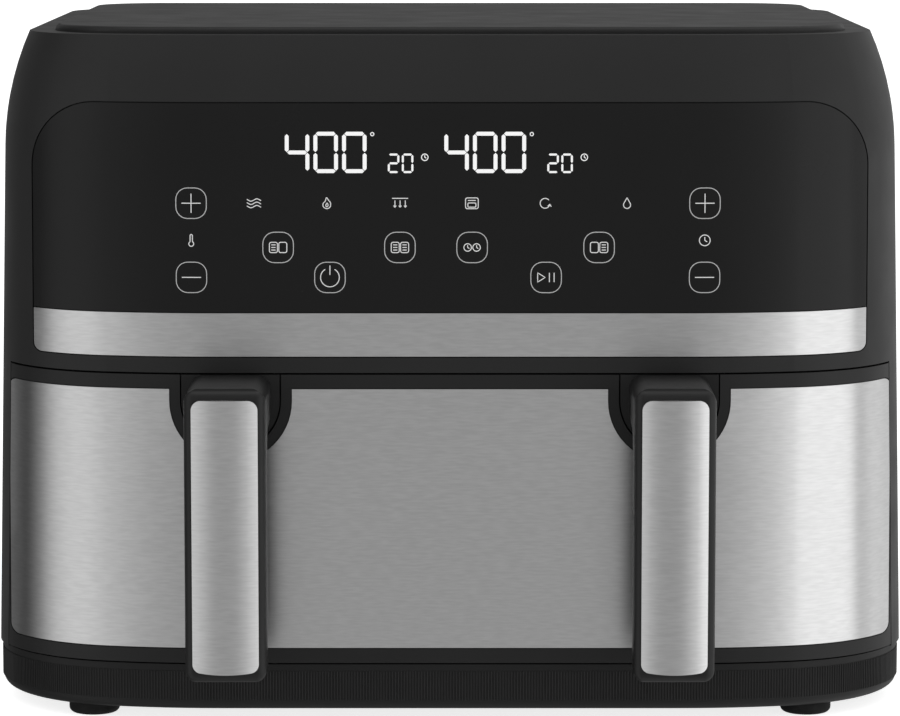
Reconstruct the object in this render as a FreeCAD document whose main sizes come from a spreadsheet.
"""Counter-top air fryer: one wide drawer with two handles and two cooking zones.

Frame: millimetres, +Z up, the front faces -Y, origin on the table under the middle of the whole box.
"""
import FreeCAD, Part
import math
import os
import re
import Sketcher
from FreeCAD import Rotation, Vector

# Driving dimensions, millimetres and degrees
SIZES = {
    # outer body
    "body_width": 400.0, "body_depth": 340.0, "front_round": 101.3, "bow_radius": 207.0, "bow_angle": 13.75,
    "rear_radius": 60.0, "side_draft": 1.2, "wall": 3.0, "shoulder_radius": 128.0, "shoulder_height": 50.0,
    "ledge_width": 11.0, "cover_rise": 2.9, "cover_seat": 3.0, "cover_lip": 6.0, "cover_edge": 2.0,
    # heights, from the table up
    "foot_height": 5.4, "base_height": 20.1, "drawer_height": 124.4, "band_drop": 7.0, "band_height": 18.5,
    "panel_height": 89.3, "brow_height": 28.5, "seam_gap": 0.8, "fit_gap": 0.3,
    # base, feet and their screws
    "base_inset": 1.2, "base_edge": 5.0, "foot_radius": 11.0, "foot_inset": 45.0, "foot_front": 27.0,
    "foot_rear": 40.0, "foot_stem": 4.0, "foot_edge": 2.5, "lug_inset": 14.0, "lug_radius": 5.5,
    "lug_height": 20.0, "lug_pitch": 110.0, "screw_radius": 1.6, "screw_head": 4.0, "head_height": 2.4,
    "thread_gap": 0.1, "post_size": 14.0, "post_inset": 30.0,
    # front facings
    "panel_side": 20.3, "panel_corner": 28.0, "band_corner": 3.7, "facing": 1.5, "facing_joint": 0.5,
    "window_half": 100.0, "window_margin": 10.0,
    # drawer front
    "drawer_wrap": 65.5, "drawer_wall": 4.0, "drawer_thick": 40.0, "flange": 3.0, "skin": 0.6,
    "skin_side": 7.6, "skin_top": 6.2, "skin_bottom": 6.6, "skin_corner": 4.0, "inner_plate": 2.5,
    "inner_half_gap": 17.5, "gasket": 5.0, "gasket_width": 4.0, "gasket_gap": 1.3,
    # handles
    "handle_reach": 52.0, "handle_inset": 106.3, "grip_width": 34.3, "grip_thick": 16.6, "grip_round": 4.0,
    "grip_bottom": 0.5, "grip_nose": 4.8, "grip_end_round": 7.0, "grip_inner_round": 8.0,
    "grip_corner": 6.0, "neck_height": 22.0,
    "plate_width": 27.7, "plate_top": 4.3, "plate_bottom": 4.7, "plate_corner": 4.3, "plate_thick": 3.4,
    "plate_crown": 2.4, "plate_heel": 3.6, "plate_bow": 1.1, "cup_radius": 21.0, "cup_drop": 11.3, "cup_border": 5.25,
    "cup_recess": 3.0, "cup_thick": 4.0, "cup_gap": 0.6, "stem_width": 24.0, "stem_height": 26.0,
    "stem_drop": 9.0, "handle_screw_pitch": 11.0, "handle_screw_drop": 24.4, "handle_screw_bite": 14.0,
    # oven
    "frame_step": 8.0, "frame": 1.5, "jacket": 28.0, "liner": 0.7, "liner_foot": 2.3, "mouth_rise": 3.0,
    "oven_height": 162.5, "back_gap": 43.0, "deck_lift": 8.0, "deck_width": 90.0, "deck_sheet": 1.2,
    "deck_margin": 8.0, "deck_foot": 10.0,
    # basket, divider and trays
    "basket_lift": 7.0, "basket_height": 105.0, "basket_wall": 1.0, "basket_corner": 8.0,
    "basket_bottom": 7.0, "rim_width": 6.0, "slide_gap": 3.5, "basket_back_gap": 6.0, "rear_rim": 4.5,
    "runner_height": 4.0, "runner_gap": 1.0, "divider": 1.6, "divider_drop": 6.0, "seal_width": 2.2,
    "seal_thick": 4.0, "seal_round": 9.0, "tab_width": 60.0, "tab_height": 5.0, "rib": 2.0, "rib_reach": 4.0,
    "rib_foot": 10.0, "tray_lift": 11.5, "tray": 1.2, "tray_rim": 4.0, "tray_gap": 4.5, "tray_corner": 9.0,
    "bumper_radius": 5.0, "bumper_inset": 15.0, "slot_width": 5.0, "slot_pitch": 11.0, "slot_rows": 20.0,
    "slot_side": 10.0, "slot_bridge": 10.0,
    # heaters, fans and motors
    "guard_drop": 38.0, "guard_sheet": 0.8, "guard_depth": 160.0, "guard_side": 6.0, "guard_rows": 13.0,
    "heater_radius": 3.25, "heater_drop": 31.0, "heater_pitch": 20.0, "heater_runs": 6.0,
    "heater_reach": 50.0, "heater_tail": 25.0, "pin_rise": 14.0, "bush_radius": 6.0, "bush_height": 7.0,
    "fan_radius": 55.0, "fan_drop": 7.0, "fan_blade": 14.0, "fan_sheet": 1.2, "fan_hub": 9.0,
    "fan_blades": 8.0, "shaft_radius": 3.0, "shaft_play": 0.05, "motor_radius": 26.0, "motor_height": 36.0,
    "motor_ear": 36.0, "motor_foot": 2.0, "motor_foot_depth": 22.0, "cooling_radius": 40.0,
    "cooling_lift": 6.0, "cooling_blade": 9.0, "baffle": 1.2, "baffle_flange": 10.0,
    # electronics
    "board_setback": 14.0, "board_half": 115.0, "board": 1.6, "boss_radius": 4.0, "board_screw_x": 108.0,
    "display_half": 63.0, "display_height": 26.0, "display_thick": 6.2, "power_half": 70.0,
    "power_depth": 55.0, "power_lift": 10.0, "power_leg": 3.0, "power_inset": 8.0, "probe_radius": 2.0,
    "probe_drop": 25.0, "probe_rise": 12.0, "probe_flange": 6.0, "cutoff_radius": 8.0, "cutoff_height": 10.0,
    "switch_width": 12.0, "switch_height": 22.0, "switch_depth": 16.0, "plunger_radius": 1.8,
    "plunger_inset": 20.0, "plunger_stroke": 1.5, "switch_rise": 64.0,
    # rear
    "rear_half": 115.0, "rear_low": 80.0, "rear_high": 220.0, "rear_proud": 0.8, "rear_plate": 2.4,
    "rear_corner": 8.0, "rear_border": 15.0, "vent_height": 4.0, "vent_pitch": 9.0, "vent_rows": 12.0,
    "vent_bridge": 12.0, "rear_screw_inset": 8.0, "rear_head": 3.2, "rear_head_height": 1.6,
    "rear_boss": 7.0, "gland_x": 120.0, "gland_z": 45.0, "gland_flange": 8.0, "gland_sleeve": 5.5,
    "gland_bore": 3.2, "gland_sink": 2.0, "gland_length": 12.0, "duct_half": 62.0, "duct_height": 36.0,
    "duct_wall": 2.0, "duct_low": 147.0,
}

# Places that follow from the driving dimensions
PLACES = {
    "half_width": "body_width / 2",
    "front_flat": "body_width - 2 * front_round",
    "front_y": "(handle_reach - body_depth) / 2",
    "back_y": "(handle_reach + body_depth) / 2",
    "tip_y": "front_y - handle_reach",
    "lean_rate": "tan(side_draft * 1 deg)",
    "bow_sin": "sin(bow_angle * 1 deg)",
    "bow_cos": "cos(bow_angle * 1 deg)",
    "corner_radius": "(half_width - front_flat / 2 - bow_radius * bow_sin) / (1 - bow_sin)",
    "corner_x": "half_width - corner_radius",
    "corner_y": "front_y + bow_radius * (1 - bow_cos) + corner_radius * bow_cos",
    "base_top": "foot_height + base_height",
    "floor_top": "foot_height + wall",
    "foot_x": "half_width - foot_inset",
    "panel_half": "half_width - panel_side",
    "drawer_low": "base_top + seam_gap",
    "drawer_high": "drawer_low + drawer_height",
    "lip_z": "drawer_high + seam_gap",
    "band_low": "lip_z + band_drop",
    "band_high": "band_low + band_height",
    "panel_low": "band_high + facing_joint",
    "panel_high": "band_high + panel_height",
    "rim_z": "panel_high + brow_height",
    "shoulder_z": "rim_z - shoulder_height",
    "shoulder_y": "front_y + (shoulder_z - base_top) * lean_rate",
    "arc_y": "shoulder_y + shoulder_radius * cos(side_draft * 1 deg)",
    "arc_z": "shoulder_z - shoulder_radius * sin(side_draft * 1 deg)",
    "rim_y": "arc_y - sqrt(shoulder_radius ^ 2 - (rim_z - arc_z) ^ 2)",
    "cover_inset": "rim_y - front_y + ledge_width",
    "cover_low": "rim_z - cover_seat",
    "cover_high": "rim_z + cover_rise",
    # drawer
    "skin_half": "half_width - skin_side",
    "handle_x": "half_width - handle_inset",
    "plate_y": "front_y + drawer_thick",
    "plate_back": "plate_y + inner_plate",
    "inner_half": "half_width - inner_half_gap",
    "frame_y": "front_y + drawer_thick + frame_step",
    "cup_z": "drawer_high - cup_drop",
    "cup_back": "front_y + cup_recess + cup_thick",
    "stem_high": "drawer_high - stem_drop",
    "grip_low": "drawer_low + grip_bottom",
    "grip_front": "tip_y + plate_thick",
    "grip_back": "grip_front + grip_thick",
    "neck_low": "drawer_high - neck_height",
    "heel_radius": "(plate_width ^ 2 / 4 + plate_bow ^ 2) / (2 * plate_bow)",
    "heel_depth": "sqrt((heel_radius - plate_heel) ^ 2 - (plate_width / 2 - plate_heel) ^ 2)",
    "heel_share": "heel_radius / (heel_radius - plate_heel)",
    # oven
    "liner_front": "frame_y + frame",
    "liner_back": "back_y - back_gap",
    "liner_half": "half_width - jacket",
    "liner_low": "base_top + liner_foot",
    "liner_high": "liner_low + oven_height",
    "ceiling": "liner_high - liner",
    "deck_high": "liner_high + deck_lift + deck_sheet",
    "fan_x": "liner_half / 2",
    "fan_y": "(liner_front + liner_back - liner) / 2",
    "motor_low": "deck_high + motor_foot",
    "motor_high": "motor_low + motor_height",
    # basket
    "rim_half": "liner_half - slide_gap",
    "basket_half": "rim_half - rim_width",
    "basket_low": "drawer_low + basket_lift",
    "basket_high": "basket_low + basket_height",
    "basket_floor": "basket_low + basket_wall",
    "basket_back": "liner_back - liner - basket_back_gap",
    "bay_front": "plate_back + basket_wall",
    "bay_back": "basket_back - basket_wall",
    "bay_half": "basket_half - basket_wall",
    "mouth_high": "basket_high + mouth_rise",
    "mouth_low": "basket_low - mouth_rise / 2",
    "divider_high": "basket_high - divider_drop",
    "tray_low": "basket_floor + tray_lift",
    "tray_in": "seal_thick / 2 + tray_gap",
    "tray_out": "bay_half - tray_gap",
    "tray_front": "bay_front + tray_gap",
    "tray_back": "bay_back - tray_gap",
    "screw_z": "drawer_high - handle_screw_drop",
    # rear
    "duct_high": "duct_low + duct_height",
    "plunger_x": "half_width - plunger_inset",
    "switch_z": "drawer_low + switch_rise",
    "board_y": "front_y + board_setback",
    "window_low": "panel_low + window_margin",
    "window_high": "panel_high - window_margin / 2",
    "board_low": "window_low - window_margin / 2",
    "board_high": "panel_high - window_margin / 2",
}

WORD = re.compile(r"[a-z][a-z_]*")
doc = FreeCAD.newDocument("AirFryer")
sheet = doc.addObject("Spreadsheet::Sheet", "Sizes")
for row, (alias, size) in enumerate(SIZES.items(), start=1):
    sheet.set(f"A{row}", alias)
    sheet.set(f"B{row}", str(size))
    sheet.setAlias(f"B{row}", alias)
doc.recompute()


def bind(text):
    """Spell out a rule so that it names only cells of the sheet."""
    def spell(match):
        word = match.group(0)
        if word in PLACES:
            return "(" + bind(PLACES[word]) + ")"
        return "Sizes." + word if word in SIZES else word
    return WORD.sub(spell, str(text))


def value(text):
    """The number that a rule gives with the sheet as it stands."""
    return float(sheet.evalExpression(bind(text)))


def lean(height):
    """How far the outer wall leans in at a height."""
    return f"(({height} - base_top) * lean_rate)"


def front_at(height):
    return f"(front_y + {lean(height)})"


def back_at(height):
    return f"(back_y - {lean(height)})"


def to_side(side, text):
    """Mirror a rule for x: side is 1 on the right and -1 on the left."""
    return f"({text})" if side > 0 else f"(-({text}))"


SIDES = (("left", -1), ("right", 1))


def span(side, near, far):
    """The lower and higher x of a stretch that lies between two distances from the middle."""
    if side > 0:
        return f"({near})", f"({far})"
    return f"(-({far}))", f"(-({near}))"


# Sketches, whose points are all bound to the sheet

def pin(sketch, kind, geometry, point, text):
    index = sketch.addConstraint(Sketcher.Constraint(kind, -1, 1, geometry, point, value(text)))
    sketch.setExpression(f"Constraints[{index}]", bind(text))


def draw(sketch, steps, closed=True):
    """Join points (x, y) by lines, and (x, y, centre x, centre y) by an arc under half a circle."""
    spots = [Vector(value(step[0]), value(step[1]), 0) for step in steps]
    first = 0 if closed else 1
    drawn = []
    for index in range(first, len(steps)):
        start, end, step = spots[index - 1], spots[index], steps[index]
        if len(step) == 2:
            drawn.append((sketch.addGeometry(Part.LineSegment(start, end), False), 1, 2, step, start, end))
            continue
        centre = Vector(value(step[2]), value(step[3]), 0)
        turn = (start - centre).cross(end - centre).z
        low, high = (start, end) if turn > 0 else (end, start)
        low_angle = math.atan2(low.y - centre.y, low.x - centre.x)
        high_angle = math.atan2(high.y - centre.y, high.x - centre.x)
        if high_angle < low_angle:
            high_angle += 2 * math.pi
        circle = Part.Circle(centre, Vector(0, 0, 1), (end - centre).Length)
        arc = sketch.addGeometry(Part.ArcOfCircle(circle, low_angle, high_angle), False)
        ends = (1, 2) if turn > 0 else (2, 1)
        drawn.append((arc, *ends, step, start, end))
    for index, (geometry, start_point, end_point, step, start, end) in enumerate(drawn):
        if closed or index > 0:
            last = drawn[index - 1]
            sketch.addConstraint(Sketcher.Constraint("Coincident", last[0], last[2], geometry, start_point))
        else:
            pin(sketch, "DistanceX", geometry, start_point, steps[0][0])
            pin(sketch, "DistanceY", geometry, start_point, steps[0][1])
        pin(sketch, "DistanceX", geometry, end_point, step[0])
        pin(sketch, "DistanceY", geometry, end_point, step[1])
        if len(step) == 4:
            across = abs(end.y - start.y) < abs(end.x - start.x)
            pin(sketch, "DistanceY" if across else "DistanceX", geometry, 3, step[3] if across else step[2])


def ring(sketch, x, y, radius):
    circle = Part.Circle(Vector(value(x), value(y), 0), Vector(0, 0, 1), value(radius))
    index = sketch.addGeometry(circle, False)
    pin(sketch, "DistanceX", index, 3, x)
    pin(sketch, "DistanceY", index, 3, y)
    size = sketch.addConstraint(Sketcher.Constraint("Radius", index, value(radius)))
    sketch.setExpression(f"Constraints[{size}]", bind(radius))


def box(x_low, x_high, y_low, y_high):
    return [(x_high, y_low), (x_high, y_high), (x_low, y_high), (x_low, y_low)]


def soft_box(x_low, x_high, y_low, y_high, top=None, bottom=None):
    """A rectangle whose upper or lower corners are rounded."""
    steps = []
    if bottom:
        steps += [(f"{x_high} - {bottom}", y_low),
                  (x_high, f"{y_low} + {bottom}", f"{x_high} - {bottom}", f"{y_low} + {bottom}")]
    else:
        steps += [(x_high, y_low)]
    if top:
        steps += [(x_high, f"{y_high} - {top}"),
                  (f"{x_high} - {top}", y_high, f"{x_high} - {top}", f"{y_high} - {top}"),
                  (f"{x_low} + {top}", y_high),
                  (x_low, f"{y_high} - {top}", f"{x_low} + {top}", f"{y_high} - {top}")]
    else:
        steps += [(x_high, y_high), (x_low, y_high)]
    if bottom:
        steps += [(x_low, f"{y_low} + {bottom}"),
                  (f"{x_low} + {bottom}", y_low, f"{x_low} + {bottom}", f"{y_low} + {bottom}")]
    else:
        steps += [(x_low, y_low)]
    return steps


def new_body(label):
    body = doc.addObject("PartDesign::Body", label)
    body.Label = label
    return body


def sketch_on(body, role, offset, *outlines, circles=(), closed=True):
    """A sketch on one of the body's own planes: XY at a height, XZ at a depth or YZ at a width."""
    sketch = body.newObject("Sketcher::SketchObject", body.Name + "Sketch")
    plane = next(feature for feature in body.Origin.OriginFeatures if feature.Role == role)
    sketch.AttachmentSupport = (plane, [""])
    sketch.MapMode = "FlatFace"
    shift = f"-({offset})" if role == "XZ_Plane" else offset
    sketch.setExpression("AttachmentOffset.Base.z", bind(shift))
    for outline in outlines:
        draw(sketch, outline, closed)
    for x, y, radius in circles:
        ring(sketch, x, y, radius)
    return sketch


def pad(body, sketch, length, back=False, both=False):
    """Thicken a sketch: XY upwards, XZ towards the front and YZ to the right, or back the other way."""
    feature = body.newObject("PartDesign::Pad", body.Name + "Pad")
    feature.Profile = sketch
    feature.setExpression("Length", bind(length))
    feature.Reversed = back
    feature.Midplane = both
    doc.recompute()
    return feature


def pocket(body, sketch, length, back=False):
    """Cut a sketch away: XY downwards, XZ towards the rear, YZ to the left, or back the other way."""
    before = body.Tip.Shape.Volume
    feature = body.newObject("PartDesign::Pocket", body.Name + "Pocket")
    feature.Profile = sketch
    feature.setExpression("Length", bind(length))
    feature.Reversed = back
    doc.recompute()
    if not feature.Shape.Volume < before:
        raise ValueError(f"{body.Label}: a pocket cuts nothing")
    return feature


def pipe(body, profile, spine):
    feature = body.newObject("PartDesign::AdditivePipe", body.Name + "Pipe")
    doc.recompute()
    feature.Profile = profile
    feature.Spine = (spine, [f"Edge{index + 1}" for index in range(len(spine.Shape.Edges))])
    doc.recompute()
    return feature


def soften(body, radius, wanted):
    """Round the edges of the body so far that the test picks."""
    base = body.Tip
    names = [f"Edge{index + 1}" for index, edge in enumerate(base.Shape.Edges) if wanted(edge)]
    feature = body.newObject("PartDesign::Fillet", body.Name + "Fillet")
    feature.Base = (base, names)
    feature.setExpression("Radius", bind(radius))
    doc.recompute()
    return feature


def repeat(body, feature, axis, count, pitch):
    """Copy a feature along X or Y or Z of the body, both counts and steps from the sheet."""
    pattern = body.newObject("PartDesign::LinearPattern", body.Name + "Row")
    pattern.Originals = [feature]
    line = next(item for item in body.Origin.OriginFeatures if item.Role == axis)
    pattern.Direction = (line, [""])
    pattern.setExpression("Occurrences", bind(count))
    pattern.setExpression("Length", bind(f"({count} - 1) * {pitch}"))
    body.Tip = pattern
    doc.recompute()
    return pattern


def spin(body, feature, count):
    """Copy a feature around the body's own Z axis."""
    pattern = body.newObject("PartDesign::PolarPattern", body.Name + "Round")
    pattern.Originals = [feature]
    line = next(item for item in body.Origin.OriginFeatures if item.Role == "Z_Axis")
    pattern.Axis = (line, [""])
    pattern.Angle = 360
    pattern.setExpression("Occurrences", bind(count))
    body.Tip = pattern
    doc.recompute()
    return pattern


def place(thing, x="0", y="0", z="0"):
    for axis, text in (("x", x), ("y", y), ("z", z)):
        thing.setExpression(f"Placement.Base.{axis}", bind(text))


def level(edge, height):
    """True for an edge that lies flat at a height."""
    bounds = edge.BoundBox
    near = value("fit_gap") / 10
    return abs(bounds.ZMin - value(height)) < near and abs(bounds.ZMax - value(height)) < near


def along(edge, axis):
    """True for a straight edge along an axis."""
    if edge.Curve.TypeId != "Part::GeomLine":
        return False
    return abs(abs(edge.Curve.Direction.dot(axis)) - 1) < 1e-6


def cylinder(name, radius, length, x, y, z, turn=None):
    shape = doc.addObject("Part::Cylinder", name)
    if turn:
        shape.Placement = FreeCAD.Placement(Vector(), turn)
    shape.setExpression("Radius", bind(radius))
    shape.setExpression("Height", bind(length))
    place(shape, x, y, z)
    return shape


TO_FRONT = Rotation(Vector(1, 0, 0), 90)
DOWN = Rotation(Vector(1, 0, 0), 180)


def screw(name, x, y, z, head, head_length, reach, turn=None):
    """One screw: its head starts at the place given, and its shank runs on beyond the head."""
    cap = cylinder(name + "Head", head, head_length, x, y, z, turn)
    shank = cylinder(name + "Shank", "screw_radius", f"{head_length} + {reach}", x, y, z, turn)
    joined = doc.addObject("Part::Fuse", name)
    joined.Base = cap
    joined.Tool = shank
    return joined


def group(label, shapes):
    bundle = doc.addObject("Part::Compound", label)
    bundle.Label = label
    bundle.Links = shapes
    return bundle


def cut_away(label, base, tool):
    result = doc.addObject("Part::Cut", label)
    result.Base = base
    result.Tool = tool
    result.Label = label
    doc.recompute()
    return result


# The plan of the body, which every outer piece follows

def plan(inset):
    """The closed outline seen from above, moved in by an inset."""
    flat, bow = "front_flat / 2", f"(bow_radius - {inset})"
    bow_x, bow_y = f"{flat} + {bow} * bow_sin", f"front_y + bow_radius - {bow} * bow_cos"
    rear_x, rear_y = "(half_width - rear_radius)", "(back_y - rear_radius)"
    side, rear = f"half_width - {inset}", f"back_y - {inset}"
    return [
        (flat, f"front_y + {inset}"),
        (bow_x, bow_y, flat, "front_y + bow_radius"),
        (side, "corner_y", "corner_x", "corner_y"),
        (side, rear_y),
        (rear_x, rear, rear_x, rear_y),
        (f"-{rear_x}", rear),
        (f"-({side})", rear_y, f"-{rear_x}", rear_y),
        (f"-({side})", "corner_y"),
        (f"-({bow_x})", bow_y, "-corner_x", "corner_y"),
        (f"-({flat})", f"front_y + {inset}", f"-({flat})", "front_y + bow_radius"),
    ]


def corner_point(angle):
    """The place on the right front corner where the wall has turned by an angle."""
    x = f"corner_x + corner_radius * sin({angle} * 1 deg)"
    y = f"corner_y - corner_radius * cos({angle} * 1 deg)"
    return x, y


def front_path(angle):
    """The open path round the front, from the left corner to the right one."""
    x, y = corner_point(angle)
    flat = "front_flat / 2"
    bow_x = f"{flat} + bow_radius * bow_sin"
    bow_y = "front_y + bow_radius * (1 - bow_cos)"
    return [
        (f"-({x})", y),
        (f"-({bow_x})", bow_y, "-corner_x", "corner_y"),
        (f"-({flat})", "front_y", f"-({flat})", "front_y + bow_radius"),
        (flat, "front_y"),
        (bow_x, bow_y, flat, "front_y + bow_radius"),
        (x, y, "corner_x", "corner_y"),
    ]


def rear_path(angle):
    """The open path from the right front corner round the back to the left one."""
    x, y = corner_point(angle)
    rear_x, rear_y = "(half_width - rear_radius)", "(back_y - rear_radius)"
    return [
        (x, y),
        ("half_width", "corner_y", "corner_x", "corner_y"),
        ("half_width", rear_y),
        (rear_x, "back_y", rear_x, rear_y),
        (f"-{rear_x}", "back_y"),
        ("-half_width", rear_y, f"-{rear_x}", rear_y),
        ("-half_width", "corner_y"),
        (f"-({x})", y, "-corner_x", "corner_y"),
    ]


def wall_strip(low, high, outer, inner):
    """Section of a leaning wall between two heights and two depths below the outer face."""
    return [(f"{front_at(low)} + {outer}", low), (f"{front_at(high)} + {outer}", high),
            (f"{front_at(high)} + {inner}", high), (f"{front_at(low)} + {inner}", low)]


def brow_strip(outer, inner, low, high):
    """Section of the front from the band up over the rounded shoulder, between two depths."""
    def arc_point(depth, height):
        return f"arc_y - sqrt((shoulder_radius - {depth}) ^ 2 - ({height} - arc_z) ^ 2)"

    def bend(depth):
        return (f"shoulder_y + {depth} * cos(side_draft * 1 deg)",
                f"shoulder_z - {depth} * sin(side_draft * 1 deg)")

    def foot(depth):
        return f"{front_at(low)} + {depth} / cos(side_draft * 1 deg)"
    return [(foot(outer), low), bend(outer), (arc_point(outer, high), high, "arc_y", "arc_z"),
            (arc_point(inner, high), high), (*bend(inner), "arc_y", "arc_z"), (foot(inner), low)]


FAR_FRONT = "(tip_y - body_depth)"
FAR_REACH = "2 * body_depth"


def trim(body, outline):
    """Keep only what lies inside an outline seen from the front."""
    frame = box("-body_width", "body_width", "-body_width", "2 * body_width")
    pocket(body, sketch_on(body, "XZ_Plane", FAR_FRONT, frame, outline), FAR_REACH)


def facing_piece(label, section, wrap, outline):
    """A curved sheet on the front: a section led round the front and trimmed to its outline."""
    body = new_body(label)
    spine = sketch_on(body, "XY_Plane", "0", front_path(wrap), closed=False)
    pipe(body, sketch_on(body, "YZ_Plane", "0", section), spine)
    trim(body, outline)
    return body


# Base and feet

LUG_SPOTS = [(side, sign) for _, side in SIDES for sign in (-1, 1)]


def lug_place(side, sign):
    return to_side(side, "half_width - lug_inset"), f"fan_y + {sign} * lug_pitch / 2"


def foot_places():
    for name, side in SIDES:
        yield f"foot_front_{name}", to_side(side, "foot_x"), "front_y + foot_front"
        yield f"foot_rear_{name}", to_side(side, "foot_x"), "back_y - foot_rear"


def make_base_pan():
    body = new_body("base_pan")
    pad(body, sketch_on(body, "XY_Plane", "foot_height", plan("base_inset")), "base_height")
    soften(body, "base_edge", lambda edge: level(edge, "foot_height"))
    inside = plan("(base_inset + wall)")
    pocket(body, sketch_on(body, "XY_Plane", "base_top", inside), "base_height - wall")
    posts = []
    for _, side in SIDES:
        for middle in ("liner_front + post_inset", "liner_back - post_inset"):
            x = to_side(side, "liner_half - post_inset")
            posts.append(box(f"{x} - post_size / 2", f"{x} + post_size / 2",
                             f"{middle} - post_size / 2", f"{middle} + post_size / 2"))
    pad(body, sketch_on(body, "XY_Plane", "floor_top", *posts), "liner_low - floor_top")
    lugs = [(*lug_place(*spot), "lug_radius") for spot in LUG_SPOTS]
    pad(body, sketch_on(body, "XY_Plane", "floor_top", circles=lugs), "base_top - floor_top")
    through = [(*lug_place(*spot), "screw_radius + 2 * thread_gap") for spot in LUG_SPOTS]
    pocket(body, sketch_on(body, "XY_Plane", "base_top", circles=through), "base_height")
    sunk = [(*lug_place(*spot), "screw_head + fit_gap") for spot in LUG_SPOTS]
    pocket(body, sketch_on(body, "XY_Plane", "foot_height", circles=sunk), "head_height + fit_gap", back=True)
    stems = [(x, y, "foot_stem + thread_gap") for _, x, y in foot_places()]
    pocket(body, sketch_on(body, "XY_Plane", "floor_top", circles=stems), "wall")
    return [body]


def make_feet():
    feet = []
    for label, x, y in foot_places():
        body = new_body(label)
        pad(body, sketch_on(body, "XY_Plane", "0", circles=[("0", "0", "foot_radius")]), "foot_height")
        soften(body, "foot_edge", lambda edge: level(edge, "0"))
        pad(body, sketch_on(body, "XY_Plane", "foot_height", circles=[("0", "0", "foot_stem")]), "wall")
        place(body, x, y)
        feet.append(body)
    return feet


def make_base_screws():
    screws = []
    for number, spot in enumerate(LUG_SPOTS):
        x, y = lug_place(*spot)
        screws.append(screw(f"BaseScrew{number}", x, y, "foot_height + fit_gap", "screw_head", "head_height",
                            "base_height + lug_height / 2 - head_height"))
    return [group("base_screws", screws)]


# Housing, covers and front facings

def housing_section():
    low = "cover_low - wall"
    inner = "(shoulder_radius - wall)"
    bend = ("shoulder_y + wall * cos(side_draft * 1 deg)", "shoulder_z - wall * sin(side_draft * 1 deg)")
    return [
        (front_at("lip_z"), "lip_z"),
        ("shoulder_y", "shoulder_z"),
        ("rim_y", "rim_z", "arc_y", "arc_z"),
        ("front_y + cover_inset", "rim_z"),
        ("front_y + cover_inset", "cover_low"),
        ("front_y + cover_inset + cover_lip", "cover_low"),
        ("front_y + cover_inset + cover_lip", low),
        (f"arc_y - sqrt({inner} ^ 2 - ({low} - arc_z) ^ 2)", low),
        (*bend, "arc_y", "arc_z"),
        (f"{front_at('lip_z')} + wall / cos(side_draft * 1 deg)", "lip_z"),
    ]


def front_recess():
    """The shallow seat of the control panel and the band in the housing's face."""
    half, high = "(panel_half + facing_joint)", "(panel_high + facing_joint)"
    outline = soft_box(f"-{half}", half, "(band_low - facing_joint)", high,
                       "(panel_corner + facing_joint)", "(band_corner + facing_joint)")
    section = brow_strip("(-wall)", "(facing + fit_gap / 3)", "(band_low - wall)", "(panel_high + wall)")
    return facing_piece("FrontRecess", section, "drawer_wrap", outline)


def rear_sheet(body, half, low, high, outer, inner):
    """A flat sheet that leans with the back wall, between two depths below its outer face."""
    section = [(f"{back_at(low)} - {outer}", low), (f"{back_at(high)} - {outer}", high),
               (f"{back_at(high)} - {inner}", high), (f"{back_at(low)} - {inner}", low)]
    pad(body, sketch_on(body, "YZ_Plane", "0", section), f"2 * {half}", both=True)


def rear_recess():
    body = new_body("RearRecess")
    rear_sheet(body, "(rear_half + fit_gap)", "(rear_low - fit_gap)", "(rear_high + fit_gap)",
               "(-wall)", "(rear_plate - rear_proud)")
    soften(body, "rear_corner + fit_gap", lambda edge: along(edge, Vector(0, 1, 0)))
    return body


REAR_SCREW_X = [to_side(side, "rear_half - rear_screw_inset") for _, side in SIDES]


def rear_screw_rows():
    return "(rear_low + rear_screw_inset)", "(rear_high - rear_screw_inset)"


def rear_screw_spots():
    return [(x, height) for x in REAR_SCREW_X for height in rear_screw_rows()]


def board_rows():
    return "(board_low + boss_radius)", "(shoulder_z - boss_radius)"


GLAND_SEAT = f"({back_at('(gland_z + gland_flange)')} - gland_sink - fit_gap / 3)"
REAR_WINDOW = box("-(rear_half - rear_border)", "rear_half - rear_border",
                  "rear_low + rear_border", "rear_high - rear_border")


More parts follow.
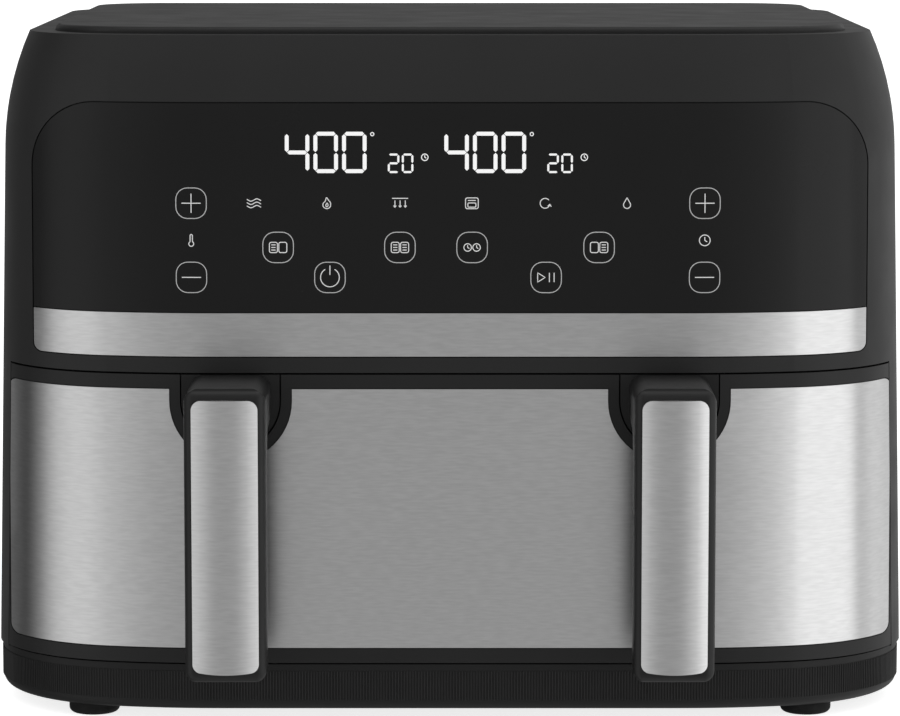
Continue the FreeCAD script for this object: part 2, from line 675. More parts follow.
def make_outer_housing():
    body = new_body("HousingShell")
    spine = sketch_on(body, "XY_Plane", "0", plan("0"))
    pipe(body, sketch_on(body, "YZ_Plane", "0", housing_section()), spine)
    gap_angle = "(drawer_wrap + seam_gap / corner_radius * 180 / pi)"
    rear_spine = sketch_on(body, "XY_Plane", "0", rear_path(gap_angle), closed=False)
    thick = "wall / cos(side_draft * 1 deg)"
    rear_wall = [(back_at("base_top"), "base_top"), (back_at("lip_z"), "lip_z"),
                 (f"{back_at('lip_z')} - {thick}", "lip_z"), (f"{back_at('base_top')} - {thick}", "base_top")]
    pipe(body, sketch_on(body, "YZ_Plane", "0", rear_wall), rear_spine)
    window = box("-window_half", "window_half", "window_low", "window_high")
    pocket(body, sketch_on(body, "XZ_Plane", "tip_y", window), "handle_reach + board_setback")
    pocket(body, sketch_on(body, "XZ_Plane", "back_y + wall", REAR_WINDOW), "back_gap", back=True)
    for height in board_rows():
        bite = f"board_y - {front_at(height)} - wall / 2"
        bosses = [(to_side(side, "board_screw_x"), height, "boss_radius") for _, side in SIDES]
        pad(body, sketch_on(body, "XZ_Plane", "board_y", circles=bosses), bite)
    for height in rear_screw_rows():
        seat = f"({back_at(height)} - wall + fit_gap)"
        bosses = [(x, height, "boss_radius") for x in REAR_SCREW_X]
        pad(body, sketch_on(body, "XZ_Plane", seat, circles=bosses), "rear_boss")
    lugs, bores = [], []
    for side, sign in LUG_SPOTS:
        x, y = lug_place(side, sign)
        low, high = span(side, "half_width - lug_inset - lug_radius", "half_width - wall / 2")
        lugs.append(box(low, high, f"{y} - lug_radius", f"{y} + lug_radius"))
        bores.append((x, y, "screw_radius + thread_gap"))
    pad(body, sketch_on(body, "XY_Plane", "base_top", *lugs), "lug_height")
    pocket(body, sketch_on(body, "XY_Plane", "base_top", circles=bores), "lug_height - wall", back=True)
    flange = [("gland_x", "gland_z", "gland_flange + fit_gap")]
    pocket(body, sketch_on(body, "XZ_Plane", "back_y + wall", circles=flange),
           f"back_y + wall - {GLAND_SEAT}", back=True)
    sleeve = [("gland_x", "gland_z", "gland_sleeve + fit_gap")]
    pocket(body, sketch_on(body, "XZ_Plane", "back_y + wall", circles=sleeve), "back_gap", back=True)
    bores = [(x, height, "screw_radius + thread_gap") for x, height in rear_screw_spots()]
    pocket(body, sketch_on(body, "XZ_Plane", "back_y", circles=bores), "rear_boss + 2 * wall", back=True)
    faced = cut_away("HousingFaced", body, front_recess())
    return [cut_away("outer_housing", faced, rear_recess())]


def make_top_cover():
    body = new_body("top_cover")
    inset = "(cover_inset + fit_gap)"
    pad(body, sketch_on(body, "XY_Plane", "cover_low", plan(inset)), "cover_seat + cover_rise")
    soften(body, "cover_edge", lambda edge: level(edge, "cover_high"))
    hollow = plan(f"({inset} + wall)")
    pocket(body, sketch_on(body, "XY_Plane", "cover_low", hollow), "cover_seat + cover_rise - wall", back=True)
    return [body]


def make_front_facings():
    panel = soft_box("-panel_half", "panel_half", "panel_low", "panel_high", "panel_corner")
    panel_section = brow_strip("0", "facing", "band_low", "(panel_high + facing)")
    band = soft_box("-panel_half", "panel_half", "band_low", "band_high", None, "band_corner")
    band_section = wall_strip("(band_low - facing)", "(band_high + facing)", "0", "facing")
    return [facing_piece("control_panel", panel_section, "drawer_wrap", panel),
            facing_piece("trim_band", band_section, "drawer_wrap", band)]


def make_rear_cover():
    body = new_body("rear_cover")
    rear_sheet(body, "rear_half", "rear_low", "rear_high", "(-rear_proud)",
               "(rear_plate - rear_proud - fit_gap / 3)")
    soften(body, "rear_corner", lambda edge: along(edge, Vector(0, 1, 0)))
    low = "rear_low + rear_border + vent_height"
    slots = []
    for _, side in SIDES:
        near, far = span(side, "vent_bridge / 2", "rear_half - rear_border - vent_bridge / 2")
        slots.append(box(near, far, low, f"{low} + vent_height"))
    vent = pocket(body, sketch_on(body, "XZ_Plane", "back_y + wall", *slots), "back_gap", back=True)
    repeat(body, vent, "Z_Axis", "vent_rows", "vent_pitch")
    bores = [(x, height, "screw_radius + 2 * thread_gap") for x, height in rear_screw_spots()]
    pocket(body, sketch_on(body, "XZ_Plane", "back_y + wall", circles=bores), "back_gap", back=True)
    for height in rear_screw_rows():
        sunk = [(x, height, "rear_head + fit_gap") for x in REAR_SCREW_X]
        depth = f"back_y + wall - {back_at(height)} - rear_proud + rear_head_height"
        pocket(body, sketch_on(body, "XZ_Plane", "back_y + wall", circles=sunk), depth, back=True)
    return [body]


def make_rear_screws():
    screws = []
    for number, (x, height) in enumerate(rear_screw_spots()):
        y = f"{back_at(height)} + rear_proud - fit_gap / 3"
        screws.append(screw(f"RearScrew{number}", x, y, height, "rear_head", "rear_head_height - fit_gap / 3",
                            "rear_boss", TO_FRONT))
    return [group("rear_screws", screws)]


def make_cord_gland():
    body = new_body("cord_gland")
    flange = [("gland_x", "gland_z", "gland_flange")]
    pad(body, sketch_on(body, "XZ_Plane", GLAND_SEAT, circles=flange), "gland_sink", back=True)
    sleeve = [("gland_x", "gland_z", "gland_sleeve")]
    pad(body, sketch_on(body, "XZ_Plane", GLAND_SEAT, circles=sleeve), "gland_length")
    bore = [("gland_x", "gland_z", "gland_bore")]
    pocket(body, sketch_on(body, "XZ_Plane", "liner_back", circles=bore), "2 * back_gap")
    return [body]


# Drawer front and handles

def cup_outline(x, radius, high):
    """A cup shape seen from the front: straight sides from the top and a half-round foot."""
    return [(f"{x} + {radius}", high), (f"{x} - {radius}", high), (f"{x} - {radius}", "cup_z"),
            (x, f"cup_z - {radius}", x, "cup_z"), (f"{x} + {radius}", "cup_z", x, "cup_z")]


def skin_outline(gap):
    """The steel sheet seen from the front, with a cup-shaped bite round each handle."""
    half, corner = f"(skin_half + {gap})", f"(skin_corner + {gap})"
    low, high = f"(drawer_low + skin_bottom - {gap})", f"(drawer_high - skin_top + {gap})"
    bite = f"(cup_radius + cup_border - {gap})"
    steps = soft_box(f"-{half}", half, low, high, corner, corner)
    bites = []
    for x in ("handle_x", "-handle_x"):
        bites += [(f"{x} + {bite}", high), (f"{x} + {bite}", "cup_z"),
                  (x, f"cup_z - {bite}", x, "cup_z"), (f"{x} - {bite}", "cup_z", x, "cup_z"),
                  (f"{x} - {bite}", high)]
    top_right = 4
    return steps[:top_right] + bites + steps[top_right:]


def flange_outline(inset):
    """The floor or roof of the drawer front: its curved edge, closed by the flat inner plate."""
    radius, bow = f"(corner_radius - {inset})", f"(bow_radius - {inset})"
    end = f"(corner_x + sqrt({radius} ^ 2 - (corner_y - plate_y) ^ 2))"
    flat, front = "front_flat / 2", f"front_y + {inset}"
    bow_x, bow_y = f"({flat} + {bow} * bow_sin)", f"front_y + bow_radius - {bow} * bow_cos"
    return [(f"-{end}", "plate_y"), (f"-{bow_x}", bow_y, "-corner_x", "corner_y"),
            (f"-({flat})", front, f"-({flat})", "front_y + bow_radius"), (flat, front),
            (bow_x, bow_y, flat, "front_y + bow_radius"), (end, "plate_y", "corner_x", "corner_y")]


def make_drawer_front():
    body = new_body("DrawerShell")
    spine = sketch_on(body, "XY_Plane", "0", front_path("drawer_wrap"), closed=False)
    section = wall_strip("drawer_low", "drawer_high", "0", "drawer_wall")
    pipe(body, sketch_on(body, "YZ_Plane", "0", section), spine)
    floor = flange_outline("(drawer_wall / 2)")
    pad(body, sketch_on(body, "XY_Plane", "drawer_low", floor), "flange")
    roof = flange_outline(f"(drawer_wall / 2 + {lean('drawer_high')})")
    pad(body, sketch_on(body, "XY_Plane", "drawer_high - flange", roof), "flange")
    cups = [cup_outline(x, "(cup_radius + cup_gap)", "drawer_high + flange") for x in ("handle_x", "-handle_x")]
    pocket(body, sketch_on(body, "XZ_Plane", "tip_y", *cups), "cup_back + cup_gap - tip_y")
    seat = wall_strip("drawer_low", "drawer_high", "(-wall)", "(skin + fit_gap / 3)")
    recess = facing_piece("SkinRecess", seat, "drawer_wrap", skin_outline("facing_joint"))
    return [cut_away("drawer_front", body, recess)]


def make_drawer_skin():
    section = wall_strip("drawer_low", "drawer_high", "0", "skin")
    return [facing_piece("drawer_skin", section, "drawer_wrap", skin_outline("0"))]


def handle_screw_spots():
    for _, side in SIDES:
        for sign in (-1, 1):
            yield to_side(side, "handle_x"), f"(screw_z + {sign} * handle_screw_pitch / 2)"


def handle_section():
    """The grip from the side: a neck at the top that bends down into the bar."""
    cup_front, end, inner, nose = "front_y + cup_recess", "grip_end_round", "grip_inner_round", "grip_nose"
    return [
        (cup_front, "neck_low"),
        (f"grip_back + {inner}", "neck_low"),
        ("grip_back", f"neck_low - {inner}", f"grip_back + {inner}", f"neck_low - {inner}"),
        ("grip_back", f"grip_low + {end}"),
        (f"grip_back - {end}", "grip_low", f"grip_back - {end}", f"grip_low + {end}"),
        (f"grip_front + {nose}", "grip_low"),
        ("grip_front", f"grip_low + {nose}", f"grip_front + {nose}", f"grip_low + {nose}"),
        ("grip_front", f"drawer_high - {nose}"),
        (f"grip_front + {nose}", "drawer_high", f"grip_front + {nose}", f"drawer_high - {nose}"),
        (cup_front, "drawer_high"),
    ]


def make_handles():
    handles = []
    for name, side in SIDES:
        body = new_body(f"{name}_handle")
        x = to_side(side, "handle_x")
        pad(body, sketch_on(body, "YZ_Plane", x, handle_section()), "grip_width", both=True)
        cheeks = [value(f"{x} + {sign} * grip_width / 2") for sign in (-1, 1)]
        root = value("front_y + cup_recess")

        def on_cheek(edge, cheeks=cheeks, root=root):
            flat = any(abs(edge.BoundBox.XMin - cheek) + abs(edge.BoundBox.XMax - cheek) < 1e-3
                       for cheek in cheeks)
            return flat and edge.BoundBox.YMin < root - 1e-3
        soften(body, "grip_round", on_cheek)
        trim(body, soft_box(f"{x} - grip_width / 2", f"{x} + grip_width / 2", "grip_low", "drawer_high",
                            "grip_corner", "grip_corner"))
        cup = cup_outline(x, "cup_radius", "drawer_high")
        pad(body, sketch_on(body, "XZ_Plane", "cup_back", cup), "cup_thick")
        stem = box(f"{x} - stem_width / 2", f"{x} + stem_width / 2", "stem_high - stem_height", "stem_high")
        pad(body, sketch_on(body, "XZ_Plane", "plate_y", stem), "plate_y - cup_back")
        bores = [(at, height, "screw_radius + thread_gap") for at, height in handle_screw_spots() if at == x]
        pocket(body, sketch_on(body, "XZ_Plane", "plate_y", circles=bores),
               "handle_screw_bite + fit_gap", back=True)
        handles.append(body)
    return handles


def plate_outline(x, half, low, high):
    """The plate on a grip seen from the front: round corners, and a lower edge that bows down a little."""
    corner_rise = f"({low} + heel_radius - heel_depth)"
    foot_rise = f"({low} + heel_radius - heel_depth * heel_share)"
    foot_half = "(plate_width / 2 - plate_heel) * heel_share"
    top = soft_box(f"{x} - {half}", f"{x} + {half}", low, high, "plate_corner")
    right_foot = (f"{x} + {foot_half}", foot_rise, x, f"{low} + heel_radius")
    right_side = (f"{x} + {half}", corner_rise, f"{x} + {half} - plate_heel", corner_rise)
    left_side = (f"{x} - {half}", corner_rise)
    left_foot = (f"{x} - {foot_half}", foot_rise, f"{x} - {half} + plate_heel", corner_rise)
    return [right_foot, right_side, *top[1:-1], left_side, left_foot]


def make_handle_plates():
    """A crowned steel sheet on the front of each grip."""
    plates = []
    half, edge_y = "plate_width / 2", "tip_y + plate_crown"
    centre_y = "tip_y + plate_width ^ 2 / (8 * plate_crown) + plate_crown / 2"
    low, high = "(grip_low + plate_bottom - grip_bottom)", "(drawer_high - plate_top)"
    for name, side in SIDES:
        body = new_body(f"{name}_handle_plate")
        x = to_side(side, "handle_x")
        crescent = [(f"{x} + {half}", "grip_front"), (f"{x} + {half}", edge_y),
                    (f"{x} - {half}", edge_y, x, centre_y), (f"{x} - {half}", "grip_front")]
        pad(body, sketch_on(body, "XY_Plane", low, crescent), f"{high} - {low}")
        trim(body, plate_outline(x, half, low, high))
        plates.append(body)
    return plates


def make_handle_screws():
    screws = []
    for number, (x, height) in enumerate(handle_screw_spots()):
        screws.append(screw(f"HandleScrew{number}", x, "bay_front + head_height", height, "screw_head",
                            "head_height", "basket_wall + inner_plate + handle_screw_bite", TO_FRONT))
    return [group("handle_screws", screws)]


def make_drawer_inner():
    body = new_body("drawer_inner")
    sheet_outline = box("-inner_half", "inner_half", "drawer_low", "drawer_high")
    pad(body, sketch_on(body, "XZ_Plane", "plate_back", sheet_outline), "inner_plate")
    bores = [(x, height, "screw_radius + 2 * thread_gap") for x, height in handle_screw_spots()]
    pocket(body, sketch_on(body, "XZ_Plane", "plate_y", circles=bores), "inner_plate")
    return [body]


def make_drawer_gasket():
    body = new_body("drawer_gasket")
    inner, width = "gasket_gap", "(gasket_gap + gasket_width)"
    hole = box(f"-(liner_half + {inner})", f"liner_half + {inner}", f"mouth_low - {inner}",
               f"mouth_high + {inner}")
    edge = box(f"-(liner_half + {width})", f"liner_half + {width}", f"mouth_low - {width}",
               f"mouth_high + {width}")
    pad(body, sketch_on(body, "XZ_Plane", "plate_back", edge, hole), "gasket", back=True)
    return [body]


# Basket, divider and trays

def make_basket():
    body = new_body("basket")
    outer = box("-basket_half", "basket_half", "plate_back", "basket_back")
    pad(body, sketch_on(body, "XY_Plane", "basket_low", outer), "basket_height")
    soften(body, "basket_corner", lambda edge: along(edge, Vector(0, 0, 1)))
    corner = "(basket_corner - basket_wall)"
    bay = soft_box("-bay_half", "bay_half", "bay_front", "bay_back", corner, corner)
    pocket(body, sketch_on(body, "XY_Plane", "basket_high", bay), "basket_height - basket_wall")
    soften(body, "basket_bottom - basket_wall", lambda edge: level(edge, "basket_floor"))
    soften(body, "basket_bottom", lambda edge: level(edge, "basket_low"))
    rim = box("-rim_half", "rim_half", "plate_back", "basket_back + rear_rim")
    pad(body, sketch_on(body, "XY_Plane", "basket_high - basket_wall", rim, bay), "basket_wall")
    guides = []
    for _, side in SIDES:
        low, high = span(side, "seal_thick / 2 + fit_gap", "seal_thick / 2 + fit_gap + rib")
        guides.append(box(low, high, "bay_front - basket_wall / 2", "bay_front + rib_reach"))
        guides.append(box(low, high, "bay_back - rib_reach", "bay_back + basket_wall / 2"))
    pad(body, sketch_on(body, "XY_Plane", "basket_floor + rib_foot", *guides),
        "divider_high - basket_floor - rib_foot")
    bores = [(x, height, "screw_radius + 2 * thread_gap") for x, height in handle_screw_spots()]
    pocket(body, sketch_on(body, "XZ_Plane", "plate_back", circles=bores), "basket_wall")
    return [body]


SEAL_FRONT, SEAL_BACK, SEAL_LOW = "(bay_front + fit_gap)", "(bay_back - fit_gap)", "(basket_floor + fit_gap)"


def edge_walk(inset, radius):
    """From the front top, down, under and up again: the side view of the divider's lower edge."""
    front, back, low = f"({SEAL_FRONT} + {inset})", f"({SEAL_BACK} - {inset})", f"({SEAL_LOW} + {inset})"
    return [(front, "divider_high"), (front, f"{low} + {radius}"),
            (f"{front} + {radius}", low, f"{front} + {radius}", f"{low} + {radius}"),
            (f"{back} - {radius}", low),
            (back, f"{low} + {radius}", f"{back} - {radius}", f"{low} + {radius}"), (back, "divider_high")]


def back_walk(steps):
    """The same walk the other way round, with each arc kept between its own two points."""
    result = [steps[-1][:2]]
    for index in range(len(steps) - 1, 0, -1):
        result.append(steps[index - 1][:2] + steps[index][2:])
    return result


def make_divider():
    body = new_body("divider")
    middle = "(bay_front + bay_back) / 2"
    tab = [(f"{middle} + tab_width / 2", "divider_high"),
           (f"{middle} + tab_width / 2", "divider_high + tab_height"),
           (f"{middle} - tab_width / 2", "divider_high + tab_height"),
           (f"{middle} - tab_width / 2", "divider_high")]
    outline = edge_walk("seal_width", "(seal_round - seal_width)") + tab
    pad(body, sketch_on(body, "YZ_Plane", "0", outline), "divider", both=True)
    seal = new_body("divider_seal")
    strip = edge_walk("0", "seal_round") + back_walk(edge_walk("seal_width", "(seal_round - seal_width)"))
    pad(seal, sketch_on(seal, "YZ_Plane", "0", strip), "seal_thick", both=True)
    return [body, seal]


def make_trays():
    pieces = []
    for name, side in SIDES:
        body = new_body(f"{name}_tray")
        low, high = span(side, "tray_in", "tray_out")
        sheet_edge = soft_box(low, high, "tray_front", "tray_back", "tray_corner", "tray_corner")
        pad(body, sketch_on(body, "XY_Plane", "tray_low", sheet_edge), "tray")
        inner_corner = "(tray_corner - tray)"
        inside = soft_box(f"({low} + tray)", f"({high} - tray)", "(tray_front + tray)", "(tray_back - tray)",
                          inner_corner, inner_corner)
        pad(body, sketch_on(body, "XY_Plane", "tray_low + tray", sheet_edge, inside), "tray_rim")
        middle = f"(({low} + {high}) / 2)"
        start = "tray_front + slot_side"
        slots = [box(f"{low} + slot_side", f"{middle} - slot_bridge / 2", start, f"{start} + slot_width"),
                 box(f"{middle} + slot_bridge / 2", f"{high} - slot_side", start, f"{start} + slot_width")]
        row = pocket(body, sketch_on(body, "XY_Plane", "tray_low + tray", *slots), "tray")
        repeat(body, row, "Y_Axis", "slot_rows", "slot_pitch")
        feet = []
        for x in (f"{low} + bumper_inset", f"{high} - bumper_inset"):
            for y in ("tray_front + bumper_inset", "tray_back - bumper_inset"):
                feet.append(cylinder("Bumper", "bumper_radius", "tray_lift - fit_gap", x, y,
                                     "basket_floor + fit_gap"))
        pieces += [body, group(f"{name}_tray_bumpers", feet)]
    return pieces


# Oven

def heater_spots(side):
    """Where the two pins of a heater rise through the ceiling."""
    reach = "(heater_runs - 1) * heater_pitch / 2"
    y = "fan_y + heater_reach + heater_tail"
    return [(f"{to_side(side, 'fan_x')} + {sign} * {reach}", y) for sign in (-1, 1)]


def probe_spot(side):
    return to_side(side, "liner_half - post_inset"), "liner_back - post_inset"


def make_front_frame():
    body = new_body("front_frame")
    outer = box("-(half_width - 4 * wall)", "half_width - 4 * wall", "drawer_low", "band_low + wall")
    mouth = box("-liner_half", "liner_half", "mouth_low", "mouth_high")
    pad(body, sketch_on(body, "XZ_Plane", "liner_front", outer, mouth), "frame")
    bore = [("plunger_x", "switch_z", "plunger_radius + fit_gap")]
    pocket(body, sketch_on(body, "XZ_Plane", "frame_y", circles=bore), "frame")
    return [body]


def make_oven_liner():
    body = new_body("oven_liner")
    outer = box("-(liner_half + liner)", "liner_half + liner", "liner_front", "liner_back")
    pad(body, sketch_on(body, "XY_Plane", "liner_low", outer), "oven_height")
    hollow = box("-liner_half", "liner_half", "liner_low + liner", "ceiling")
    pocket(body, sketch_on(body, "XZ_Plane", "liner_front", hollow), "liner_back - liner - liner_front")
    holes = []
    for _, side in SIDES:
        holes.append((to_side(side, "fan_x"), "fan_y", "shaft_radius + wall"))
        holes += [(x, y, "heater_radius + fit_gap") for x, y in heater_spots(side)]
        holes.append((*probe_spot(side), "probe_radius + fit_gap"))
    pocket(body, sketch_on(body, "XY_Plane", "liner_high", circles=holes), "liner")
    outlet = box("-(duct_half - duct_wall)", "duct_half - duct_wall", "duct_low + duct_wall",
                 "duct_high - duct_wall")
    pocket(body, sketch_on(body, "XZ_Plane", "liner_back", outlet), "liner", back=True)
    return [body]


def make_runners():
    runners = []
    for name, side in SIDES:
        body = new_body(f"{name}_runner")
        low, high = span(side, "basket_half + runner_gap", "liner_half")
        strip = box(low, high, "liner_front", "liner_back - liner")
        top = "basket_high - basket_wall - fit_gap"
        pad(body, sketch_on(body, "XY_Plane", f"{top} - runner_height", strip), "runner_height")
        runners.append(body)
    return runners


def make_zone_baffle():
    body = new_body("zone_baffle")
    thin, wide, step = "baffle / 2", "baffle_flange / 2", "ceiling - baffle"
    tee = [(thin, "mouth_high"), (thin, step), (wide, step), (wide, "ceiling"), (f"-({wide})", "ceiling"),
           (f"-({wide})", step), (f"-({thin})", step), (f"-({thin})", "mouth_high")]
    pad(body, sketch_on(body, "XZ_Plane", "liner_back - liner", tee), "liner_back - liner - liner_front")
    return [body]


def make_heater_guards():
    guards = []
    for name, side in SIDES:
        body = new_body(f"{name}_heater_guard")
        low, high = span(side, "guard_side", "2 * fan_x - guard_side")
        floor, thin = "(ceiling - guard_drop)", "guard_sheet"
        trough = [(low, "ceiling"), (low, floor), (high, floor), (high, "ceiling"),
                  (f"{high} - {thin}", "ceiling"), (f"{high} - {thin}", f"{floor} + {thin}"),
                  (f"{low} + {thin}", f"{floor} + {thin}"), (f"{low} + {thin}", "ceiling")]
        pad(body, sketch_on(body, "XZ_Plane", "fan_y + guard_depth / 2", trough), "guard_depth")
        middle, start = f"(({low} + {high}) / 2)", "fan_y - guard_depth / 2 + slot_side"
        slots = [box(f"{low} + slot_side", f"{middle} - slot_bridge / 2", start, f"{start} + slot_width"),
                 box(f"{middle} + slot_bridge / 2", f"{high} - slot_side", start, f"{start} + slot_width")]
        row = pocket(body, sketch_on(body, "XY_Plane", f"{floor} + {thin}", *slots), thin)
        repeat(body, row, "Y_Axis", "guard_rows", "slot_pitch")
        guards.append(body)
    return guards


def make_heaters():
    """A tube bent to and fro under each fan, with a pin at each end."""
    heaters = []
    height, half_turn = "(ceiling - heater_drop)", "(heater_pitch / 2)"
    rear, front = f"(fan_y + heater_reach - {half_turn})", f"(fan_y - heater_reach + {half_turn})"
    for name, side in SIDES:
        body = new_body(f"{name}_heater")
        (first, end_y), (last, _) = heater_spots(side)
        runs = round(value("heater_runs"))
        path = [(first, end_y)]
        for run in range(runs - 1):
            x = f"({first} + {run} * heater_pitch)"
            turn, out = (front, -1) if run % 2 == 0 else (rear, 1)
            middle = f"({x} + {half_turn})"
            path += [(x, turn), (middle, f"{turn} + {out} * {half_turn}", middle, turn),
                     (f"{x} + heater_pitch", turn, middle, turn)]
        path.append((last, end_y))
        spine = sketch_on(body, "XY_Plane", height, path, closed=False)
        pipe(body, sketch_on(body, "XZ_Plane", end_y, circles=[(first, height, "heater_radius")]), spine)
        pins = [(x, y, "heater_radius") for x, y in heater_spots(side)]
        pad(body, sketch_on(body, "XY_Plane", f"{height} - heater_radius", circles=pins),
            f"liner_high + pin_rise - {height} + heater_radius")
        heaters.append(body)
    return heaters


def make_heater_bushes():
    bushes = []
    for _, side in SIDES:
        for x, y in heater_spots(side):
            outer = cylinder("BushOuter", "bush_radius", "bush_height", x, y, "liner_high")
            bore = cylinder("BushBore", "heater_radius + thread_gap", "bush_height", x, y, "liner_high")
            bushes.append(cut_away("HeaterBush", outer, bore))
    return [group("heater_bushes", bushes)]


# Fans and motors

EAR_SCREW = "(motor_ear - screw_head)"


def make_motor_deck():
    body = new_body("motor_deck")
    low, high, thin = "liner_high", "deck_high", "deck_sheet"
    front, rear = "(fan_y - deck_width / 2)", "(fan_y + deck_width / 2)"
    hat = [(f"{front} - deck_foot", low), (f"{front} + {thin}", low), (f"{front} + {thin}", f"{high} - {thin}"),
           (f"{rear} - {thin}", f"{high} - {thin}"), (f"{rear} - {thin}", low), (f"{rear} + deck_foot", low),
           (f"{rear} + deck_foot", f"{low} + {thin}"), (rear, f"{low} + {thin}"), (rear, high), (front, high),
           (front, f"{low} + {thin}"), (f"{front} - deck_foot", f"{low} + {thin}")]
    pad(body, sketch_on(body, "YZ_Plane", "0", hat), "2 * (liner_half - deck_margin)", both=True)
    holes = []
    for _, side in SIDES:
        x = to_side(side, "fan_x")
        holes.append((x, "fan_y", "shaft_radius + wall"))
        holes += [(f"{x} + {sign} * {EAR_SCREW}", "fan_y", "screw_radius + 2 * thread_gap") for sign in (-1, 1)]
    pocket(body, sketch_on(body, "XY_Plane", high, circles=holes), thin)
    return [body]


def make_motors():
    motors = []
    for name, side in SIDES:
        body = new_body(f"{name}_motor")
        foot = box("-motor_ear", "motor_ear", "-motor_foot_depth / 2", "motor_foot_depth / 2")
        pad(body, sketch_on(body, "XY_Plane", "deck_high", foot), "motor_foot")
        can = [("0", "0", "motor_radius")]
        pad(body, sketch_on(body, "XY_Plane", "deck_high", circles=can), "motor_high - deck_high")
        bores = [("0", "0", "shaft_radius + shaft_play")]
        bores += [(f"{sign} * {EAR_SCREW}", "0", "screw_radius + 2 * thread_gap") for sign in (-1, 1)]
        pocket(body, sketch_on(body, "XY_Plane", "motor_high", circles=bores), "motor_high - deck_high")
        place(body, to_side(side, "fan_x"), "fan_y")
        motors.append(body)
    return motors


def make_motor_screws():
    screws = []
    for _, side in SIDES:
        for sign in (-1, 1):
            x = f"{to_side(side, 'fan_x')} + {sign} * {EAR_SCREW}"
            screws.append(screw("MotorScrew", x, "fan_y", "motor_low + head_height", "screw_head",
                                "head_height", "motor_foot + deck_sheet + wall", DOWN))
    return [group("motor_screws", screws)]


def bladed_wheel(label, radius, disc_low, blade_low, blade_height):
    """A disc with upright blades round a hub, on the shaft's own axis."""
    body = new_body(label)
    hub = [("0", "0", "fan_hub")]
    pad(body, sketch_on(body, "XY_Plane", disc_low, circles=[("0", "0", radius)]), "fan_sheet")
    pad(body, sketch_on(body, "XY_Plane", blade_low, circles=hub), blade_height)
    blade = box("fan_hub - fan_sheet", f"{radius} - fan_sheet", "-fan_sheet / 2", "fan_sheet / 2")
    first = pad(body, sketch_on(body, "XY_Plane", blade_low, blade), blade_height)
    spin(body, first, "fan_blades")
    bore = [("0", "0", "shaft_radius + shaft_play")]
    pocket(body, sketch_on(body, "XY_Plane", f"{disc_low} + 2 * {blade_height}", circles=bore),
           f"4 * {blade_height}")
    return body


def make_fans():
    pieces = []
    hot_top = "(ceiling - fan_drop)"
    hot_low = f"({hot_top} - fan_sheet - fan_blade)"
    cool_low = "(motor_high + cooling_lift)"
    for name, side in SIDES:
        shaft = new_body(f"{name}_shaft")
        axis = [("0", "0", "shaft_radius")]
        pad(shaft, sketch_on(shaft, "XY_Plane", hot_low, circles=axis),
            f"{cool_low} + fan_sheet + cooling_blade - {hot_low}")
        hot = bladed_wheel(f"{name}_hot_fan", "fan_radius", f"{hot_top} - fan_sheet", hot_low, "fan_blade")
        cool = bladed_wheel(f"{name}_cooling_fan", "cooling_radius", cool_low, f"{cool_low} + fan_sheet",
                            "cooling_blade")
        for piece in (shaft, hot, cool):
            place(piece, to_side(side, "fan_x"), "fan_y")
            pieces.append(piece)
    return pieces


# Electronics, duct and interlock

def make_boards():
    board = new_body("control_board")
    outline = box("-board_half", "board_half", "board_low", "board_high")
    pad(board, sketch_on(board, "XZ_Plane", "board_y + board", outline), "board")
    display = new_body("display_module")
    top = "(window_high - facing)"
    block = box("-display_half", "display_half", f"{top} - display_height", top)
    pad(display, sketch_on(display, "XZ_Plane", "board_y", block), "display_thick")
    power = new_body("power_board")
    front, rear = "(liner_front + power_leg)", "(liner_front + power_leg + power_depth)"
    sheet_low = "(liner_high + power_lift)"
    pad(power, sketch_on(power, "XY_Plane", sheet_low, box("-power_half", "power_half", front, rear)), "board")
    legs = []
    for x in ("(power_half - power_inset)", "-(power_half - power_inset)"):
        legs += [(x, f"{front} + power_inset", "power_leg"), (x, f"{rear} - power_inset", "power_leg")]
    pad(power, sketch_on(power, "XY_Plane", "liner_high", circles=legs), "power_lift")
    middle = f"(({front} + {rear}) / 2)"
    relay = box("-power_half / 2", "-power_inset", f"{middle} - power_inset", f"{middle} + power_inset")
    coil = box("power_inset", "power_half / 2", f"{middle} - 2 * power_inset", f"{middle} + 2 * power_inset")
    pad(power, sketch_on(power, "XY_Plane", f"{sheet_low} + board", relay, coil), "2 * power_lift")
    return [board, display, power]


def make_sensors():
    pieces = []
    for name, side in SIDES:
        x, y = probe_spot(side)
        probe = new_body(f"{name}_temperature_probe")
        pad(probe, sketch_on(probe, "XY_Plane", "ceiling - probe_drop", circles=[(x, y, "probe_radius")]),
            "probe_drop + liner + probe_rise")
        pad(probe, sketch_on(probe, "XY_Plane", "liner_high", circles=[(x, y, "probe_flange")]), "wall")
        cutoff = new_body(f"{name}_thermal_cutoff")
        spot = [(x, "liner_front + post_inset", "cutoff_radius")]
        pad(cutoff, sketch_on(cutoff, "XY_Plane", "liner_high", circles=spot), "cutoff_height")
        pieces += [probe, cutoff]
    return pieces


def make_exhaust_duct():
    body = new_body("exhaust_duct")
    outer = box("-duct_half", "duct_half", "duct_low", "duct_high")
    bore = box("-(duct_half - duct_wall)", "duct_half - duct_wall", "duct_low + duct_wall",
               "duct_high - duct_wall")
    end = f"{back_at('duct_high')} - rear_plate + rear_proud - fit_gap"
    pad(body, sketch_on(body, "XZ_Plane", "liner_back", outer, bore), f"{end} - liner_back", back=True)
    return [body]


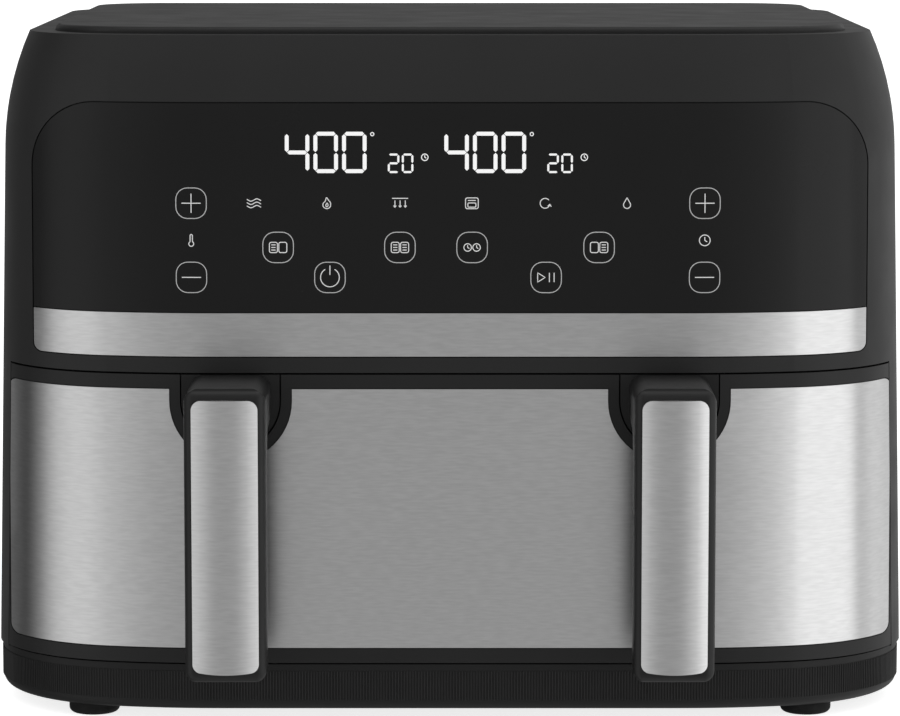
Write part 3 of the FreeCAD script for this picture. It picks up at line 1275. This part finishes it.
def make_interlock():
    """A small switch behind the frame, whose plunger the closed drawer presses."""
    body = new_body("interlock_switch")
    case = box("plunger_x - switch_width / 2", "plunger_x + switch_width / 2",
               "switch_z - switch_height / 2", "switch_z + switch_height / 2")
    pad(body, sketch_on(body, "XZ_Plane", "liner_front", case), "switch_depth", back=True)
    bore = [("plunger_x", "switch_z", "plunger_radius + thread_gap")]
    half = "switch_depth / 2"
    pocket(body, sketch_on(body, "XZ_Plane", "liner_front", circles=bore), f"{half} + 2 * plunger_stroke")
    plunger = new_body("interlock_plunger")
    tip = [("plunger_x", "switch_z", "plunger_radius")]
    pad(plunger, sketch_on(plunger, "XZ_Plane", f"liner_front + {half}", circles=tip),
        f"liner_front + {half} - plate_back - fit_gap")
    return [body, plunger]


MAKERS = (
    make_base_pan, make_feet, make_base_screws, make_outer_housing, make_top_cover, make_front_facings,
    make_rear_cover, make_rear_screws, make_cord_gland, make_drawer_front, make_drawer_skin, make_handles,
    make_handle_plates, make_handle_screws, make_drawer_inner, make_drawer_gasket, make_basket, make_divider,
    make_trays, make_front_frame, make_oven_liner, make_runners, make_zone_baffle, make_heater_guards,
    make_heaters, make_heater_bushes, make_motor_deck, make_motors, make_motor_screws, make_fans, make_boards,
    make_sensors, make_exhaust_duct, make_interlock,
)
nodes = [node for maker in MAKERS for node in maker()]
doc.recompute()
for thing in doc.Objects:
    if "Invalid" in thing.State or "Error" in thing.State:
        raise RuntimeError(f"{thing.Label} failed: {thing.State}")
for node in nodes:
    if node.Shape.isNull() or not node.Shape.isValid():
        raise RuntimeError(f"{node.Label} has no valid shape")
os.makedirs("parts", exist_ok=True)
for node in nodes:
    node.Shape.exportStep(f"parts/{node.Label}.step")
    bounds = node.Shape.BoundBox
    print(f"{node.Label}: {len(node.Shape.Solids)} solids, {node.Shape.Volume / 1000:.1f} cm3, "
          f"x {bounds.XMin:.1f} {bounds.XMax:.1f}, y {bounds.YMin:.1f} {bounds.YMax:.1f}, "
          f"z {bounds.ZMin:.1f} {bounds.ZMax:.1f}")
